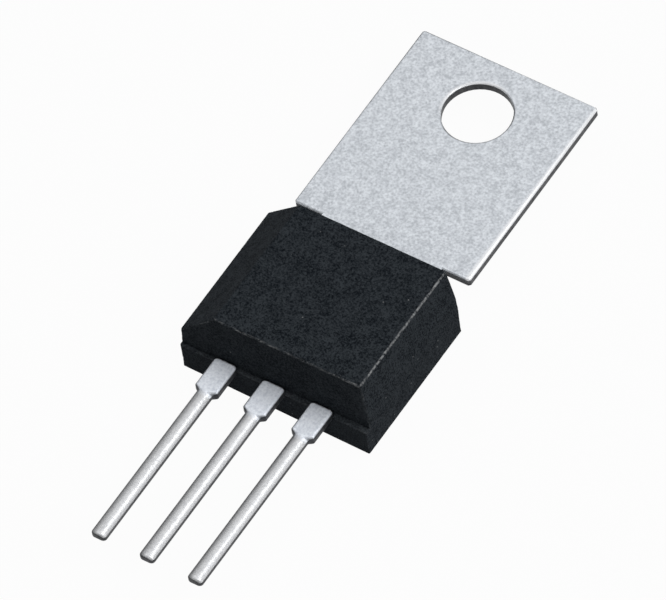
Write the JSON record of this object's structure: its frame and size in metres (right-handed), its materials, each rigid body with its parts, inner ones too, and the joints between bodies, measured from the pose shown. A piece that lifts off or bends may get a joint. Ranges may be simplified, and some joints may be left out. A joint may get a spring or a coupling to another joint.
{
  "type": "power transistor",
  "caption": "Flat power transistor with a bevelled moulded body, a drilled metal heat tab and straight leads for through-hole mounting.",
  "frame": {"origin": "middle of the moulded body's flat back, on which the part lies", "axes": "+Z from the back to the marked face, +Y towards the heat tab, -Y along the leads"},
  "size_m": [0.01, 0.0306, 0.0045],
  "materials": {
    "black_epoxy": "matt moulded epoxy",
    "tin_plate": "satin tin plate on copper",
    "silicon": "polished silicon",
    "solder": "dull solder",
    "bond_wire": "drawn wire"
  },
  "bodies": {
    "root": {"moulded_body": "black_epoxy", "heat_tab": "tin_plate", "base_lead": "tin_plate", "emitter_lead": "tin_plate", "chip": "silicon", "die_solder": "solder", "base_wire": "bond_wire", "emitter_wire": "bond_wire"}
  },
  "joints": []
}
